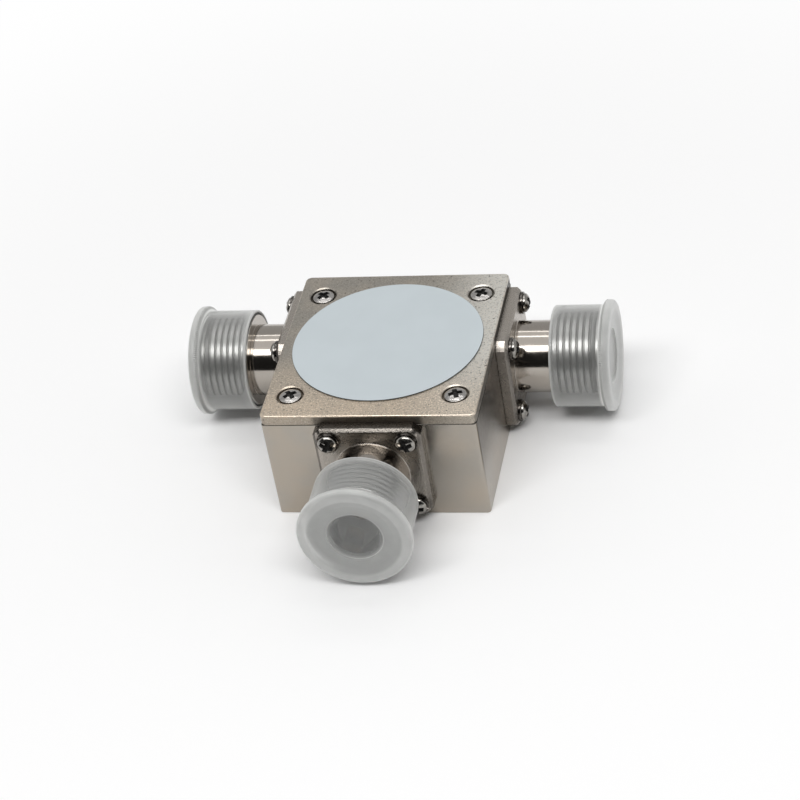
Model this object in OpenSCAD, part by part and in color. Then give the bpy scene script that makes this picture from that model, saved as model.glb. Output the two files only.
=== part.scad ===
// Three-port coaxial circulator: a square housing with a screwed cover, a threaded socket on
// three of its sides and a push-on dust cap on each socket.
// Millimetres, +Z up. The origin is the centre of the base and the front port faces -Y.

/* [Housing] */
// Width across the two side port faces
housing_w = 35; // [33:0.5:42]
// Depth from the front port face to the back face
housing_d = 38; // [37:0.5:46]
// Radius of the housing's upright corners
housing_corner_r = 0.6; // [0.2:0.1:1.5]
// Thickness of the floor under the magnet stack
floor_t = 3; // [2:0.1:6]
// Diameter of the round cavity
cavity_d = 29; // [27:0.25:30]
// How far the side ports lie behind the centre
side_port_y = 9.25; // [8.5:0.05:10]

/* [Cover] */
// Thickness of the cover plate
cover_t = 1.8; // [1.5:0.1:4]
// Radius of the cover's upright corners
cover_corner_r = 1; // [0.2:0.1:2]
// Spacing of the cover screws across the housing
cover_pitch_x = 27; // [26:0.25:29]
// Spacing of the cover screws along the housing
cover_pitch_y = 27; // [26:0.25:31]
// Diameter of the counterbores for the cover screw heads
counterbore_d = 4.4; // [4:0.1:5]
// Depth of those counterbores
counterbore_depth = 1; // [0.4:0.1:1.3]

/* [Label] */
// Diameter of the round label
label_d = 31.5; // [24:0.5:32]
// Thickness of the label
label_t = 0.2; // [0.1:0.05:0.5]
// How far the label was stuck behind the cover's centre
label_y = 0.4; // [-1:0.1:1]

/* [Connector] */
// Side of the square flange
flange_size = 17.5; // [16.8:0.1:18.5]
// Thickness of the flange
flange_t = 2; // [1.5:0.1:4]
// Leg of the chamfer across each flange corner
flange_chamfer = 1.25; // [0.5:0.05:2]
// Leg of the bevel round the flange's outer face
flange_bevel = 0.5; // [0.1:0.05:0.7]
// Spacing of the flange screws
flange_pitch = 12.7; // [12.2:0.05:13.2]
// Diameter of the pilot that centres the flange in the housing
pilot_d = 9; // [8.5:0.1:10]
// Length of that pilot
pilot_l = 1; // [0.5:0.1:2]
// Diameter of the smooth neck
neck_d = 12; // [11:0.1:13]
// Length of the neck between flange and barrel
neck_l = 6; // [4:0.1:9]
// Outside diameter of the thread
barrel_d = 15.875; // [15:0.005:17]
// Length of the threaded barrel
barrel_l = 8.5; // [7:0.1:12]
// Pitch of the thread
thread_pitch = 1.0583; // [0.8:0.0001:1.5]
// Depth of the thread
thread_depth = 0.6; // [0.3:0.05:0.7]
// Width of the flat on top of each thread ridge
thread_crest = 0.13; // [0.05:0.01:0.2]
// Length of the plain collar at the barrel's mouth
collar_l = 0.85; // [0.6:0.05:1.5]
// How far the collar stays below the thread's outside
collar_drop = 0.25; // [0.1:0.05:0.6]
// Leg of the chamfer round the barrel's mouth
mouth_chamfer = 0.4; // [0.1:0.05:0.5]
// Diameter of the open socket
socket_d = 8.7; // [8.2:0.1:9.5]
// Depth of the socket down to the insulator
socket_depth = 9.1; // [7:0.1:12]
// Diameter of the insulated line behind the socket
line_d = 7; // [6:0.1:7.5]

/* [Contact] */
// Outside diameter of the socket contact
contact_d = 3.04; // [2.6:0.01:3.4]
// Length of the contact in front of the insulator
contact_l = 4.1; // [3:0.1:5]
// Diameter of the hole in the contact
contact_bore_d = 1.7; // [1.4:0.05:2]
// Depth of that hole
contact_bore_depth = 3.6; // [2:0.1:3.9]
// Width of the four slots in the contact
slot_w = 0.25; // [0.1:0.05:0.4]
// Depth of those slots
slot_depth = 3; // [1.5:0.1:3.5]
// How far the insulator reaches into the housing
insulator_reach = 3; // [2:0.1:3.5]
// Diameter of the stem and solder tail
stem_d = 1.3; // [1:0.05:1.6]
// How far the solder tail reaches into the housing
tail_reach = 6.5; // [5:0.1:8]
// Length of full round stem behind the insulator, before the solder flat
stem_free = 0.6; // [0.3:0.1:1]

/* [Dust cap] */
// Wall of the cap's sleeve
cap_wall = 0.42; // [0.3:0.01:0.8]
// How far the sleeve reaches over the barrel
cap_sleeve_l = 8.4; // [5:0.1:9]
// Diameter of the rim at the closed end
cap_rim_d = 18.4; // [17.6:0.1:20]
// Thickness of the rim
cap_rim_t = 1.8; // [1.4:0.1:2.5]
// Radius of the rim's outer edge
cap_rim_r = 0.6; // [0.2:0.05:0.8]
// Thickness of the membrane at the middle of the end
cap_membrane_t = 0.5; // [0.3:0.05:1]
// Diameter of the recess at the middle of the end
cap_recess_d = 9; // [7:0.1:11]
// Depth of that recess
cap_recess_depth = 0.4; // [0.2:0.05:0.8]
// Diameter of the flat floor of the dished end
cap_dish_floor_d = 12.3; // [11.5:0.1:14]
// Diameter of the dish where it meets the rim
cap_dish_d = 15.3; // [14.2:0.1:16]
// Depth of the dished end
cap_dish_depth = 0.5; // [0.2:0.05:1]

/* [Screws] */
// Outside diameter of the screw threads
screw_d = 2; // [1.6:0.1:2.2]
// Diameter of the screw heads
head_d = 3.5; // [3.2:0.1:3.8]
// Height of the screw heads
head_h = 1.35; // [1:0.05:1.8]
// Height of the straight edge of the heads
head_edge_h = 0.8; // [0.4:0.05:0.9]
// Length of the arms of the cross recess
cross_l = 2; // [1.4:0.1:2.4]
// Width of the arms of the cross recess
cross_w = 0.55; // [0.3:0.05:0.7]
// Depth of the cross recess
cross_depth = 0.8; // [0.4:0.05:0.9]
// Length of the cover screws under the head
cover_screw_l = 6; // [4:0.5:8]
// Length of the flange screws under the head
flange_screw_l = 5; // [4:0.5:6]
// Outside diameter of the lock washers
washer_d = 3.7; // [3.4:0.1:4.2]
// Thickness of the lock washers
washer_t = 0.5; // [0.3:0.05:0.8]
// Width of the split in the lock washers
washer_split = 0.35; // [0.2:0.05:0.6]

/* [Stack] */
// Thickness of the centre conductor
strip_t = 0.3; // [0.2:0.05:0.5]
// Width of its three arms
strip_w = 2.4; // [1.6:0.1:3]
// Diameter of its centre disc
strip_disc_d = 11; // [8:0.5:14]
// Diameter of the ferrite discs
ferrite_d = 18; // [14:0.5:20]
// Thickness of the ferrite discs
ferrite_t = 2.2; // [1.6:0.1:3]
// Outside diameter of the dielectric rings
ring_d = 24; // [22:0.5:25]
// Thickness of the ground plates
plate_t = 1; // [0.6:0.1:1.5]
// Diameter of the magnets, the compensators and the pressure pad
magnet_d = 24; // [20:0.5:26]
// Thickness of the magnets
magnet_t = 3.1; // [2.5:0.1:4]
// Thickness of the compensators
compensator_t = 0.55; // [0.3:0.05:1]
// Thickness of the pressure pad
pad_t = 1.2; // [0.6:0.1:2]

/* [Fits] */
// Radial play of the cap on the thread
cap_play = 0.05; // [0.03:0.01:0.15]
// Play between the cap's end and the barrel's mouth
cap_end_play = 0.1; // [0.05:0.05:0.3]
// Radial play of the pieces that are set into bores
set_play = 0.04; // [0.02:0.01:0.1]
// Radial play of the screw holes in the cover, the flanges and the washers
screw_play = 0.15; // [0.1:0.05:0.3]
// Radial play of the screws in their tapped holes
tapped_play = 0.03; // [0.02:0.01:0.1]
// Depth of a tapped hole past the end of its screw
tapped_runout = 0.3; // [0.2:0.1:1]
// Room that the rings and ground plates leave round the insulators and solder tails
relief_gap = 0.3; // [0.2:0.1:0.8]

/* [Hidden] */
$fn = 96;

// Overlap that lets a cut run clear of the face it opens
cut = 1;

// Colours
satin_nickel = [0.70, 0.67, 0.62];
blasted_nickel = [0.63, 0.60, 0.55];
bright_nickel = [0.78, 0.77, 0.74];
screw_steel = [0.72, 0.72, 0.71];
label_grey = [0.76, 0.79, 0.82];
milky_plastic = [0.86, 0.87, 0.87];
white_plastic = [0.95, 0.95, 0.93];
gold = [0.85, 0.68, 0.32];
silvered_copper = [0.80, 0.78, 0.74];
ferrite_black = [0.20, 0.20, 0.21];
ceramic_white = [0.90, 0.88, 0.84];
plate_steel = [0.62, 0.63, 0.64];
magnet_grey = [0.33, 0.33, 0.34];
compensator_grey = [0.55, 0.54, 0.51];
pad_rubber = [0.25, 0.24, 0.24];

// The stack sets the height of the port axes and of the housing
ferrite_z = strip_t / 2;
plate_z = ferrite_z + ferrite_t;
magnet_z = plate_z + plate_t;
compensator_z = magnet_z + magnet_t;
stack_half = compensator_z + compensator_t;
port_z = floor_t + stack_half;
housing_h = port_z + stack_half + pad_t;
cover_z = housing_h + cover_t;

// Stations along a port's axis, from the housing's face outwards
barrel_z = flange_t + neck_l;
mouth_z = barrel_z + barrel_l;
seat_z = mouth_z - socket_depth;
contact_tip_z = seat_z + contact_l;
head_seat_z = flange_t + washer_t;

// Length of the solder flat on a contact's tail and of the pad under it
pad_l = tail_reach - insulator_reach - stem_free;

// The thread fills whole turns between the barrel's back and its collar
thread_flank = thread_depth * tan(30);
thread_root = thread_pitch - thread_crest - 2 * thread_flank;
thread_n = floor((barrel_l - collar_l) / thread_pitch);
thread_z = mouth_z - collar_l - thread_n * thread_pitch;
thread_r = barrel_d / 2;
root_r = thread_r - thread_depth;
collar_r = thread_r - collar_drop;

// The cap's own stations
cap_inner_r = thread_r + cap_play;
cap_outer_r = cap_inner_r + cap_wall;
cap_rim_rise = cap_rim_d / 2 - cap_outer_r;
cap_open_z = mouth_z - cap_sleeve_l;
cap_inside_z = mouth_z + cap_end_play;
cap_recess_z = cap_inside_z + cap_membrane_t;
cap_dish_z = cap_recess_z + cap_recess_depth;
cap_end_z = cap_dish_z + cap_dish_depth;

// A pan head's top is part of a sphere
head_sag = head_h - head_edge_h;
head_sphere_r = (pow(head_d / 2, 2) + pow(head_sag, 2)) / (2 * head_sag);

// Screw holes
through_d = screw_d + 2 * screw_play;
tapped_d = screw_d + 2 * tapped_play;
flange_tap_depth = flange_screw_l - head_seat_z + tapped_runout;
cover_seat_z = cover_z - counterbore_depth;
cover_tap_depth = cover_screw_l - (cover_seat_z - housing_h) + tapped_runout;

// How the cross recesses happen to stand, one angle for each screw in turn
cover_cross_turns = [38, 20, 52, 68];
flange_cross_turns = [15, 62, 40, 80];

// Where each port's axis leaves the housing, and how far its frame is turned
function port_place(side) =
  side == "front"
    ? [0, -housing_d / 2, port_z]
    : [(side == "right" ? 1 : -1) * housing_w / 2, side_port_y, port_z];
function port_turn(side) = side == "front" ? 0 : side == "right" ? 90 : -90;

// A port's own frame: Z out along its axis, Y up, the housing's face at Z = 0
module at_port(side) {
  translate(port_place(side)) rotate([90, 0, port_turn(side)]) children();
}

module at_flange_screws() {
  for (i = [0 : 3])
    rotate(90 * i) translate([flange_pitch / 2, flange_pitch / 2]) rotate(flange_cross_turns[i]) children();
}

module at_cover_screws() {
  for (i = [0 : 3])
    translate([(i % 2 == 0 ? -1 : 1) * cover_pitch_x / 2, (i < 2 ? -1 : 1) * cover_pitch_y / 2])
      rotate(cover_cross_turns[i]) children();
}

module rounded_plan(w, d, r) {
  square([w - 2 * r, d], center = true);
  square([w, d - 2 * r], center = true);
  for (x = [-1, 1], y = [-1, 1])
    translate([x * (w / 2 - r), y * (d / 2 - r)]) circle(r);
}

module ring(outer_d, inner_d, h) {
  difference() {
    cylinder(d = outer_d, h = h);
    translate([0, 0, -cut]) cylinder(d = inner_d, h = h + 2 * cut);
  }
}

// Pan-head screw with its seat at Z = 0 and its shank below
module pan_screw(shank_l) {
  difference() {
    intersection() {
      cylinder(d = head_d, h = head_h);
      translate([0, 0, head_h - head_sphere_r]) sphere(head_sphere_r);
    }
    for (turn = [0, 90])
      translate([0, 0, head_h]) rotate(turn) cube([cross_l, cross_w, 2 * cross_depth], center = true);
  }
  translate([0, 0, -shank_l]) cylinder(d = screw_d, h = shank_l);
}

module split_washer() {
  difference() {
    ring(washer_d, through_d, washer_t);
    translate([washer_d / 2, 0, washer_t / 2]) rotate([35, 0, 0])
      cube([washer_d, washer_split, 4 * washer_t], center = true);
  }
}

// Square plate with its corners cut and its outer edges bevelled
module flange_plate() {
  half = flange_size / 2;
  corner_half = (flange_size - flange_chamfer) / sqrt(2);
  bevel_side = flange_bevel * sqrt(2);
  difference() {
    linear_extrude(flange_t) intersection() {
      square(flange_size, center = true);
      rotate(45) square(2 * corner_half, center = true);
    }
    for (i = [0 : 7])
      rotate(45 * i) translate([0, i % 2 == 0 ? half : corner_half, flange_t]) rotate([45, 0, 0])
        cube([flange_size, bevel_side, bevel_side], center = true);
  }
}

// Half section of the neck and the threaded barrel
module barrel_section() {
  thread_points = [
    for (i = [0 : thread_n - 1], step = [
      [root_r, 0],
      [root_r, thread_root],
      [thread_r, thread_root + thread_flank],
      [thread_r, thread_root + thread_flank + thread_crest]
    ]) [step[0], thread_z + i * thread_pitch + step[1]]
  ];
  polygon(concat(
    [[0, 0], [neck_d / 2, 0], [neck_d / 2, barrel_z], [root_r, barrel_z]],
    thread_points,
    [
      [root_r, mouth_z - collar_l],
      [collar_r, mouth_z - collar_l],
      [collar_r, mouth_z - mouth_chamfer],
      [collar_r - mouth_chamfer, mouth_z],
      [0, mouth_z]
    ]
  ));
}

module connector(side) {
  color(bright_nickel) at_port(side) difference() {
    union() {
      flange_plate();
      rotate_extrude() barrel_section();
      translate([0, 0, -pilot_l]) cylinder(d = pilot_d - 2 * set_play, h = pilot_l);
    }
    translate([0, 0, -pilot_l - cut]) cylinder(d = line_d, h = pilot_l + seat_z + 2 * cut);
    translate([0, 0, seat_z]) cylinder(d = socket_d, h = socket_depth + cut);
    at_flange_screws() translate([0, 0, -cut]) cylinder(d = through_d, h = flange_t + 2 * cut);
  }
}

module insulator(side) {
  color(white_plastic) at_port(side) translate([0, 0, -insulator_reach])
    ring(line_d - 2 * set_play, stem_d + 2 * set_play, insulator_reach + seat_z);
}

// Socket contact in front of the insulator, stem through it and a tail with a solder flat
module contact(side) {
  color(gold) at_port(side) difference() {
    union() {
      translate([0, 0, seat_z]) cylinder(d = contact_d, h = contact_l);
      translate([0, 0, -tail_reach]) cylinder(d = stem_d, h = tail_reach + seat_z);
    }
    translate([0, 0, contact_tip_z - contact_bore_depth])
      cylinder(d = contact_bore_d, h = contact_bore_depth + cut);
    for (turn = [45, 135])
      translate([0, 0, contact_tip_z]) rotate(turn)
        cube([2 * contact_d, slot_w, 2 * slot_depth], center = true);
    translate([-stem_d, strip_t / 2 - 2 * stem_d, -tail_reach - cut])
      cube([2 * stem_d, 2 * stem_d, pad_l + cut]);
  }
}

module flange_screws(side) {
  color(screw_steel) at_port(side) at_flange_screws()
    translate([0, 0, head_seat_z]) pan_screw(flange_screw_l);
}

module lock_washers(side) {
  color(screw_steel) at_port(side) at_flange_screws() translate([0, 0, flange_t]) split_washer();
}

// Half section of the cap: sleeve, rim with a rounded front edge, dished end
module cap_section() {
  rim_edge = cap_rim_d / 2 - cap_rim_r;
  difference() {
    union() {
      translate([0, cap_open_z]) square([cap_outer_r, cap_end_z - cap_open_z]);
      polygon([
        [0, cap_end_z - cap_rim_t],
        [cap_outer_r, cap_end_z - cap_rim_t],
        [cap_rim_d / 2, cap_end_z - cap_rim_t + cap_rim_rise / 2],
        [cap_rim_d / 2, cap_end_z - cap_rim_r],
        [0, cap_end_z - cap_rim_r]
      ]);
      translate([0, cap_end_z - cap_rim_t]) square([rim_edge, cap_rim_t]);
      translate([rim_edge, cap_end_z - cap_rim_r]) circle(cap_rim_r);
    }
    translate([0, cap_open_z - cut]) square([cap_inner_r, cap_inside_z - cap_open_z + cut]);
    polygon([
      [0, cap_recess_z],
      [cap_recess_d / 2, cap_recess_z],
      [cap_recess_d / 2, cap_dish_z],
      [cap_dish_floor_d / 2, cap_dish_z],
      [cap_dish_d / 2, cap_end_z],
      [cap_dish_d / 2, cap_end_z + cut],
      [0, cap_end_z + cut]
    ]);
  }
}

module dust_cap(side) {
  color(milky_plastic) at_port(side) rotate_extrude() cap_section();
}

module housing() {
  color(satin_nickel) difference() {
    linear_extrude(housing_h) rounded_plan(housing_w, housing_d, housing_corner_r);
    translate([0, 0, floor_t]) cylinder(d = cavity_d, h = housing_h);
    for (side = ["left", "right", "front"])
      at_port(side) {
        translate([0, 0, -housing_w / 2]) cylinder(d = line_d, h = housing_w / 2 + cut);
        translate([0, 0, -pilot_l - set_play]) cylinder(d = pilot_d, h = pilot_l + set_play + cut);
        at_flange_screws() translate([0, 0, -flange_tap_depth])
          cylinder(d = tapped_d, h = flange_tap_depth + cut);
      }
    at_cover_screws() translate([0, 0, housing_h - cover_tap_depth])
      cylinder(d = tapped_d, h = cover_tap_depth + cut);
  }
}

module cover_plate() {
  color(blasted_nickel) translate([0, 0, housing_h]) difference() {
    linear_extrude(cover_t) rounded_plan(housing_w, housing_d, cover_corner_r);
    at_cover_screws() {
      translate([0, 0, -cut]) cylinder(d = through_d, h = cover_t + 2 * cut);
      translate([0, 0, cover_t - counterbore_depth]) cylinder(d = counterbore_d, h = counterbore_depth + cut);
    }
  }
}

module cover_screws() {
  color(screw_steel) translate([0, 0, cover_seat_z]) at_cover_screws() pan_screw(cover_screw_l);
}

module round_label() {
  color(label_grey) translate([0, label_y, cover_z]) cylinder(d = label_d, h = label_t);
}

// Centre of the solder pad under a contact's tail
function pad_place(side) =
  let (place = port_place(side), inwards = tail_reach - pad_l / 2)
  side == "front"
    ? [0, place[1] + inwards]
    : [place[0] - sign(place[0]) * inwards, place[1]];

module centre_conductor() {
  color(silvered_copper) translate([0, 0, port_z - strip_t / 2]) linear_extrude(strip_t) {
    circle(d = strip_disc_d);
    for (side = ["left", "right", "front"]) {
      pad = pad_place(side);
      rotate(atan2(pad[1], pad[0])) translate([0, -strip_w / 2]) square([norm(pad), strip_w]);
      translate(pad) {
        circle(d = strip_w);
        square(side == "front" ? [strip_w, pad_l] : [pad_l, strip_w], center = true);
      }
    }
  }
}

// Room for the insulators and solder tails where they come near the stack
module port_reliefs() {
  for (side = ["left", "right", "front"])
    at_port(side) {
      translate([0, 0, -tail_reach - relief_gap])
        cylinder(d = stem_d + 2 * relief_gap, h = tail_reach + relief_gap);
      translate([0, 0, -insulator_reach - relief_gap])
        cylinder(d = line_d + 2 * relief_gap, h = insulator_reach + relief_gap);
    }
}

// One layer of the stack above or below the centre conductor
module layer(side, z, t) {
  translate([0, 0, side == "upper" ? port_z + z : port_z - z - t]) children();
}

module ferrite(side) {
  color(ferrite_black) layer(side, ferrite_z, ferrite_t) cylinder(d = ferrite_d, h = ferrite_t);
}

module dielectric_ring(side) {
  color(ceramic_white) difference() {
    layer(side, ferrite_z, ferrite_t) ring(ring_d, ferrite_d + 2 * set_play, ferrite_t);
    port_reliefs();
  }
}

module ground_plate(side) {
  color(plate_steel) difference() {
    layer(side, plate_z, plate_t) cylinder(d = cavity_d - 2 * set_play, h = plate_t);
    port_reliefs();
  }
}

module magnet(side) {
  color(magnet_grey) layer(side, magnet_z, magnet_t) cylinder(d = magnet_d, h = magnet_t);
}

module compensator(side) {
  color(compensator_grey) layer(side, compensator_z, compensator_t) cylinder(d = magnet_d, h = compensator_t);
}

module pressure_pad() {
  color(pad_rubber) translate([0, 0, port_z + stack_half]) cylinder(d = magnet_d, h = pad_t);
}

housing();
cover_plate();
cover_screws();
round_label();
connector("left");  // left_connector
connector("right");  // right_connector
connector("front");  // front_connector
insulator("left");  // left_insulator
insulator("right");  // right_insulator
insulator("front");  // front_insulator
contact("left");  // left_contact
contact("right");  // right_contact
contact("front");  // front_contact
flange_screws("left");  // left_flange_screws
flange_screws("right");  // right_flange_screws
flange_screws("front");  // front_flange_screws
lock_washers("left");  // left_lock_washers
lock_washers("right");  // right_lock_washers
lock_washers("front");  // front_lock_washers
dust_cap("left");  // left_dust_cap
dust_cap("right");  // right_dust_cap
dust_cap("front");  // front_dust_cap
centre_conductor();
ferrite("upper");  // upper_ferrite
ferrite("lower");  // lower_ferrite
dielectric_ring("upper");  // upper_dielectric_ring
dielectric_ring("lower");  // lower_dielectric_ring
ground_plate("upper");  // upper_ground_plate
ground_plate("lower");  // lower_ground_plate
magnet("upper");  // upper_magnet
magnet("lower");  // lower_magnet
compensator("upper");  // upper_compensator
compensator("lower");  // lower_compensator
pressure_pad();
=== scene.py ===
"""Dresses the solids of a three-port coaxial circulator: fine meshes, finishes, stage and camera."""

from math import atan2, cos, pi, radians, sin, sqrt, tan

import bmesh
import bpy
from bpy.props import FloatProperty, FloatVectorProperty, PointerProperty
from mathutils import Matrix, Vector


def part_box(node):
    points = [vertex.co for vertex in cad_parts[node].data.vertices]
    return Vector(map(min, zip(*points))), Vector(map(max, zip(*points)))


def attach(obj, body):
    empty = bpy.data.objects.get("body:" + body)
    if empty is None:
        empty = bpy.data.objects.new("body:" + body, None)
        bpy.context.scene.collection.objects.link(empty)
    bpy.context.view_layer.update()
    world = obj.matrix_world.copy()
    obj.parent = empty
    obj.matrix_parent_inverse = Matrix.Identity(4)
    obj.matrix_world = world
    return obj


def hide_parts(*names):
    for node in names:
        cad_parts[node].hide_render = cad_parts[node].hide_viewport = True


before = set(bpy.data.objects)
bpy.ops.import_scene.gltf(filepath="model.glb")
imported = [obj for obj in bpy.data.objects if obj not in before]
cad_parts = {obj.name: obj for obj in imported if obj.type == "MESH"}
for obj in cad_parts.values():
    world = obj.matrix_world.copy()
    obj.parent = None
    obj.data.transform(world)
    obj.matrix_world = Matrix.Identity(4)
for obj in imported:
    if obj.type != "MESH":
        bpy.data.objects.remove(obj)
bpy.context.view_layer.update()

bl_info = {
    "name": "Coaxial Circulator",
    "version": (1, 0, 0),
    "blender": (4, 5, 0),
    "location": "View3D > Sidebar > Circulator",
    "description": "Builds the looks of a three-port coaxial circulator round its solids",
    "category": "Object",
}

SIDES = ("left", "right", "front")
LEVELS = ("upper", "lower")

# Degrees between faces from which an edge is sharp
CREASE = 35
# Turns of the four screws of a set about their own axes, in degrees
COVER_TURNS = (38, 20, 52, 68)
FLANGE_TURNS = (15, 62, 40, 80)

# Boxes of the solids that set the main sizes
BLOCK_LOW, BLOCK_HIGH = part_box("housing")
_, COVER_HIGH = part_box("cover_plate")
LABEL_LOW, LABEL_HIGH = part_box("round_label")
SOCKET_LOW, SOCKET_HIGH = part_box("right_connector")
CAP_LOW, CAP_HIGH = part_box("right_dust_cap")
BLOCK = BLOCK_HIGH - BLOCK_LOW
FACE_X = BLOCK_HIGH.x


def length(name, description, default):
    return FloatProperty(name=name, description=description, default=default, unit="LENGTH", precision=6)


def share(name, description, default):
    return FloatProperty(
        name=name, description=description, default=default, min=0.0, max=1.0, subtype="FACTOR"
    )


def colour(name, description, default):
    return FloatVectorProperty(
        name=name, description=description, default=default, size=3, min=0.0, max=1.0, subtype="COLOR"
    )


class CIRCULATOR_PG_block(bpy.types.PropertyGroup):
    """Sizes of the housing, the cover and the label"""

    width: length("Width", "Across the two side port faces", BLOCK.x)
    depth: length("Depth", "From the front port face to the back", BLOCK.y)
    height: length("Height", "Of the housing under the cover", BLOCK.z)
    corner: length("Corner", "Radius of the housing's upright corners", 0.0006)
    edge: length("Edge", "Rounding of the housing's edges", 0.00014)
    floor: length("Floor", "Thickness under the magnet stack", 0.003)
    cavity: length("Cavity", "Radius of the round cavity", 0.0145)
    tapped: length("Tapped hole", "Radius of the screw holes in the housing", 0.00103)
    cover_tap: length("Cover hole depth", "Depth of the cover's screw holes", 0.0055)
    port_tap: length("Port hole depth", "Depth of the flanges' screw holes", 0.0028)
    cover_top: length("Cover top", "Height of the cover's upper face", COVER_HIGH.z)
    cover_corner: length("Cover corner", "Radius of the cover's upright corners", 0.001)
    cover_edge: length("Cover edge", "Rounding of the cover's upper edge", 0.00022)
    counterbore: length("Counterbore", "Radius of the counterbores in the cover", 0.0022)
    counterbore_depth: length("Counterbore depth", "Depth of those counterbores", 0.001)
    through: length("Clear hole", "Radius of the holes that screws pass through", 0.00115)
    screw_x: length("Screw X", "Half the cover screws' spacing across", 0.0135)
    screw_y: length("Screw Y", "Half the cover screws' spacing along", 0.0135)
    label_radius: length("Label", "Radius of the round label", (LABEL_HIGH.x - LABEL_LOW.x) / 2)
    label_y: length(
        "Label place", "How far the label lies behind the centre", (LABEL_HIGH.y + LABEL_LOW.y) / 2
    )
    label_top: length("Label top", "Height of the label's face", LABEL_HIGH.z)


class CIRCULATOR_PG_port(bpy.types.PropertyGroup):
    """Sizes of a threaded socket, measured outwards from the housing's face"""

    axis_z: length("Axis height", "Height of the port axes", (SOCKET_LOW.z + SOCKET_HIGH.z) / 2)
    side_y: length(
        "Side place", "How far the side ports lie behind the centre", (SOCKET_LOW.y + SOCKET_HIGH.y) / 2
    )
    flange: length("Flange", "Side of the square flange", SOCKET_HIGH.z - SOCKET_LOW.z)
    flange_t: length("Flange thickness", "Thickness of the flange", 0.002)
    flange_corner: length("Flange corner", "Leg of the cut across each flange corner", 0.00125)
    flange_bevel: length("Flange bevel", "Leg of the bevel round the outer face", 0.0005)
    screw: length("Screw place", "Half the flange screws' spacing", 0.00635)
    pilot: length("Pilot", "Radius of the pilot behind the flange", 0.00446)
    pilot_l: length("Pilot length", "Length of that pilot", 0.001)
    neck: length("Neck", "Radius of the smooth neck", 0.006)
    neck_fillet: length("Neck fillet", "Rounding where the neck meets the flange", 0.00014)
    barrel_from: length("Barrel start", "Where the threaded barrel starts", 0.008)
    mouth: length("Mouth", "Where the barrel ends", SOCKET_HIGH.x - FACE_X)
    thread: length("Thread", "Outside radius of the thread", 0.0079375)
    thread_depth: length("Thread depth", "Depth of the thread", 0.00032)
    pitch: length("Pitch", "Pitch of the thread", 0.0010583)
    crest: length("Crest", "Width of the flat on the thread", 0.0006)
    collar: length("Collar", "Radius of the plain collar at the mouth", 0.0076875)
    collar_from: length("Collar start", "Where that collar starts", 0.01565)
    mouth_chamfer: length("Mouth chamfer", "Leg of the chamfer round the mouth", 0.0004)
    socket: length("Socket", "Radius of the open socket", 0.00435)
    socket_floor: length("Socket floor", "Where the socket meets its insulator", 0.0074)
    line: length("Line", "Radius of the insulated line", 0.0035)


class CIRCULATOR_PG_cap(bpy.types.PropertyGroup):
    """Sizes of a push-on dust cap, measured outwards from the housing's face"""

    open_end: length("Open end", "Where the sleeve starts", CAP_LOW.x - FACE_X)
    inner: length("Inside", "Inner radius of the sleeve", 0.0079875)
    outer: length("Outside", "Outer radius of the sleeve", 0.0084075)
    inside_end: length("Inside end", "Where the cap is closed inside", 0.0166)
    recess: length("Recess", "Radius of the recess in the end", 0.0045)
    recess_floor: length("Recess floor", "Floor of that recess", 0.0171)
    dish_floor_r: length("Dish floor", "Radius of the dish's flat floor", 0.00615)
    dish_floor: length("Dish depth", "Floor of the dish", 0.0175)
    dish: length("Dish", "Radius of the dish at the rim", 0.00765)
    end: length("End", "Outermost plane of the cap", CAP_HIGH.x - FACE_X)
    rim: length("Rim", "Radius of the rim", (CAP_HIGH.z - CAP_LOW.z) / 2)
    rim_from: length("Rim start", "Where the rim leaves the sleeve", 0.0162)
    rim_edge: length("Rim edge", "Rounding of the rim's outer edge", 0.0006)
    tooth: length("Tooth", "Depth of the gaps between the fine teeth of the rim", 0.0002)


class CIRCULATOR_PG_screw(bpy.types.PropertyGroup):
    """Sizes of the pan-head screws and their split washers"""

    flange_head: length("Flange screw head", "Radius of a flange screw's head", 0.00158)
    cover_head: length("Cover screw head", "Radius of a cover screw's head", 0.00182)
    flange_head_h: length("Flange screw height", "Height of a flange screw's head", 0.00105)
    cover_head_h: length("Cover screw height", "Height of a cover screw's head", 0.0012)
    flange_edge: length("Flange screw edge", "Height of a flange screw's straight edge", 0.00035)
    cover_edge: length("Cover screw edge", "Height of a cover screw's straight edge", 0.00082)
    cross_l: length("Cross length", "Half the length of the cross's arms", 0.00108)
    cross_w: length("Cross width", "Half the width of the cross's arms", 0.00037)
    cross_depth: length("Cross depth", "Depth of the cross recess", 0.0008)
    shank: length("Shank", "Radius of the shank", 0.001)
    cover_l: length("Cover screw", "Shank length of the cover screws", 0.006)
    flange_l: length("Flange screw", "Shank length of the flange screws", 0.005)
    washer: length("Washer", "Outer radius of the split washers", 0.00185)
    washer_bore: length("Washer bore", "Inner radius of the split washers", 0.00115)
    washer_t: length("Washer thickness", "Thickness of the split washers", 0.0005)
    split: length("Split", "Width of the split", 0.00035)


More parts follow.
